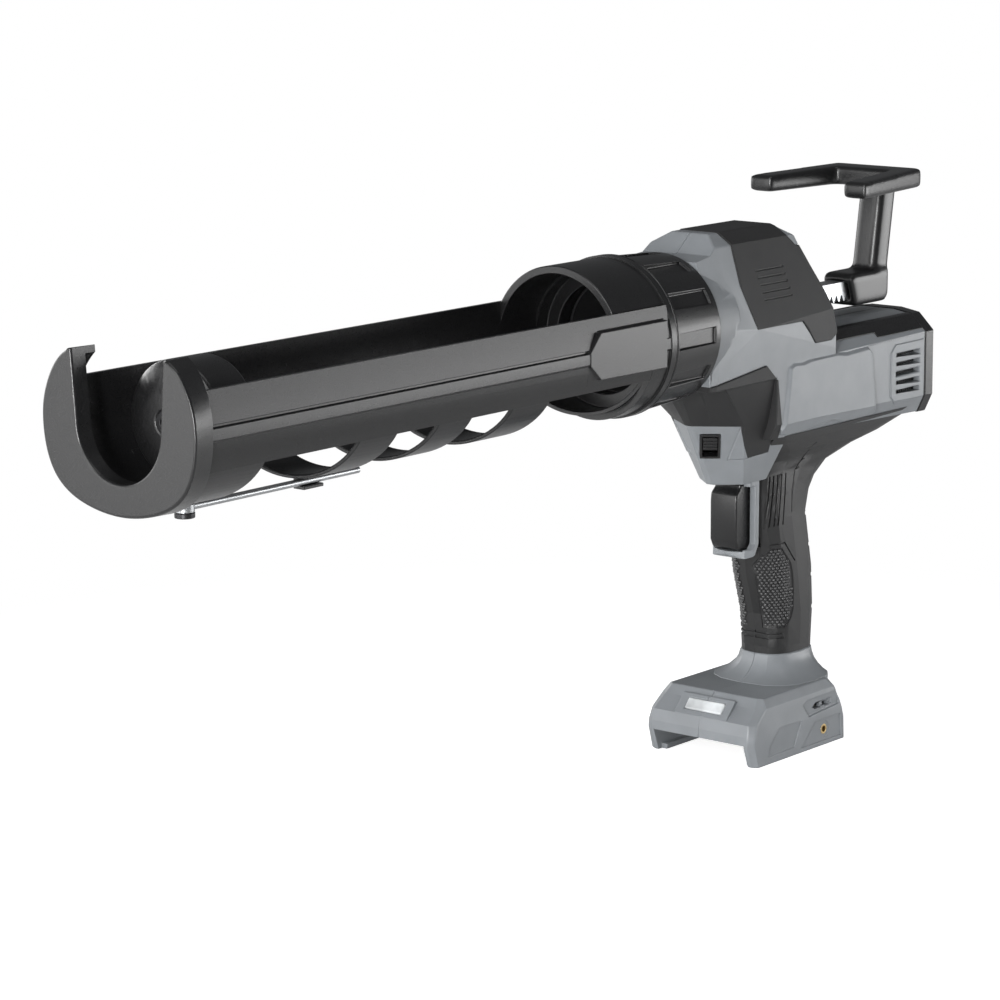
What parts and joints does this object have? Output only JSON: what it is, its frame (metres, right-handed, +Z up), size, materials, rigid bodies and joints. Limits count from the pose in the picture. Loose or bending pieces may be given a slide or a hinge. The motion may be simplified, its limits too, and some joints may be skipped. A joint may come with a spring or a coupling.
{
  "type": "cordless caulking tool",
  "caption": "Cordless caulking tool: open cartridge cradle with slotted cap, rack-driven plunger, pull handle, geared motor body, trigger grip and battery foot.",
  "frame": {"origin": "middle of the cartridge seat, the front face of the barrel's rear bulkhead, on the barrel axis", "axes": "+X forwards along the barrel axis to the nozzle, +Y to the tool's left, +Z up"},
  "size_m": [0.5785, 0.091, 0.2934],
  "materials": {
    "black_plastic": "charcoal moulded nylon, satin",
    "grey_plastic": "cool grey moulded nylon, satin",
    "grip_rubber": "soft overmoulded rubber, matte",
    "bright_steel": "bright plated steel",
    "gear_steel": "ground steel",
    "cast_aluminium": "die-cast",
    "bronze": "sintered bronze",
    "brass": "turned brass",
    "clear_lens": "frosted clear lens",
    "board": "circuit board"
  },
  "bodies": {
    "housing": {"left_housing": "grey_plastic", "right_housing": "grey_plastic", "top_cover": "black_plastic", "left_chin_panel": "black_plastic", "right_chin_panel": "black_plastic", "left_motor_band": "black_plastic", "right_motor_band": "black_plastic", "rear_cap": "black_plastic", "left_grip_cover": "grip_rubber", "right_grip_cover": "grip_rubber", "slider_frame": "black_plastic", "housing_screws": "gear_steel", "gear_case": "cast_aluminium", "shaft_bushes": "bronze", "output_bush": "bronze", "rack_guide": "black_plastic", "ring_gear": "gear_steel", "motor_can": "gear_steel", "motor_bearings": "gear_steel", "stator": "gear_steel", "switch_module": "black_plastic", "trigger_spring": "gear_steel", "control_board": "board", "terminal_block": "black_plastic", "terminal_blades": "brass", "led_lens": "clear_lens", "led_board": "board", "threaded_insert": "brass"},
    "barrel": {"barrel": "black_plastic", "barrel_socket": "black_plastic", "front_cap": "black_plastic", "rod_pivot_screw": "bright_steel", "rod_clip": "black_plastic"},
    "collar": {"collar_nut": "black_plastic"},
    "puncture_rod": {"puncture_rod": "bright_steel"},
    "rack": {"rack": "bright_steel", "plunger": "black_plastic", "plunger_screw": "bright_steel", "pull_handle": "black_plastic", "handle_pin": "bright_steel"},
    "pinion": {"pinion_shaft": "gear_steel", "rack_pinion": "gear_steel", "spur_gear": "gear_steel"},
    "cross_shaft": {"cross_shaft": "gear_steel", "spur_pinion": "gear_steel", "bevel_gear": "gear_steel"},
    "carrier": {"planet_carrier": "gear_steel", "bevel_pinion": "gear_steel"},
    "planet_1": {"planet_gear_1": "gear_steel"},
    "planet_2": {"planet_gear_2": "gear_steel"},
    "planet_3": {"planet_gear_3": "gear_steel"},
    "rotor": {"rotor": "gear_steel", "sun_gear": "gear_steel", "cooling_fan": "black_plastic"},
    "trigger": {"trigger": "black_plastic"},
    "slider": {"slider_switch": "black_plastic"}
  },
  "joints": [
    {"name": "rack_slide", "type": "slide", "parent": "housing", "child": "rack", "axis": [-1, 0, 0], "range_m": [0, 0.3]},
    {"name": "barrel_turn", "type": "hinge", "parent": "housing", "child": "barrel", "pos_m": [0, 0, 0], "axis": [1, 0, 0], "continuous": true},
    {"name": "collar_turn", "type": "hinge", "parent": "housing", "child": "collar", "pos_m": [-0.03, 0, 0], "axis": [1, 0, 0], "continuous": true},
    {"name": "puncture_rod_swing", "type": "hinge", "parent": "barrel", "child": "puncture_rod", "pos_m": [0.28901, 0, -0.0381], "axis": [0, 0, -1], "range_deg": [0, 95]},
    {"name": "pinion_turn", "type": "hinge", "parent": "housing", "child": "pinion", "pos_m": [-0.105, 0, -0.01145], "axis": [0, 1, 0], "continuous": true},
    {"name": "cross_shaft_turn", "type": "hinge", "parent": "housing", "child": "cross_shaft", "pos_m": [-0.105, 0, -0.03995], "axis": [0, 1, 0], "continuous": true},
    {"name": "carrier_turn", "type": "hinge", "parent": "housing", "child": "carrier", "pos_m": [-0.136, 0, -0.03995], "axis": [1, 0, 0], "continuous": true},
    {"name": "rotor_turn", "type": "hinge", "parent": "housing", "child": "rotor", "pos_m": [-0.19, 0, -0.03995], "axis": [1, 0, 0], "continuous": true},
    {"name": "trigger_slide", "type": "slide", "parent": "housing", "child": "trigger", "axis": [-1, 0, 0], "range_m": [0, 0.006], "stiffness_N_per_m": 600, "springref_m": -0.004, "deforming": ["trigger_spring"]},
    {"name": "slider_slide", "type": "slide", "parent": "housing", "child": "slider", "axis": [-0.3072, -0.2421, -0.9203], "range_m": [0, 0.004]},
    {"name": "planet_1_turn", "type": "hinge", "parent": "carrier", "child": "planet_1", "pos_m": [-0.143, 0.0108, -0.03995], "axis": [1, 0, 0], "continuous": true},
    {"name": "planet_2_turn", "type": "hinge", "parent": "carrier", "child": "planet_2", "pos_m": [-0.143, -0.0054, -0.0306], "axis": [1, 0, 0], "continuous": true},
    {"name": "planet_3_turn", "type": "hinge", "parent": "carrier", "child": "planet_3", "pos_m": [-0.143, -0.0054, -0.0493], "axis": [1, 0, 0], "continuous": true}
  ],
  "couplings": [
    {"joint": "pinion_turn", "follows": "rack_slide", "rad_per_m": -111.11},
    {"joint": "cross_shaft_turn", "follows": "rack_slide", "rad_per_m": 240.74},
    {"joint": "carrier_turn", "follows": "rack_slide", "rad_per_m": 481.48},
    {"joint": "rotor_turn", "follows": "rack_slide", "rad_per_m": 1925.9},
    {"joint": "planet_1_turn", "follows": "rack_slide", "rad_per_m": -1444.4},
    {"joint": "planet_2_turn", "follows": "rack_slide", "rad_per_m": -1444.4},
    {"joint": "planet_3_turn", "follows": "rack_slide", "rad_per_m": -1444.4}
  ]
}
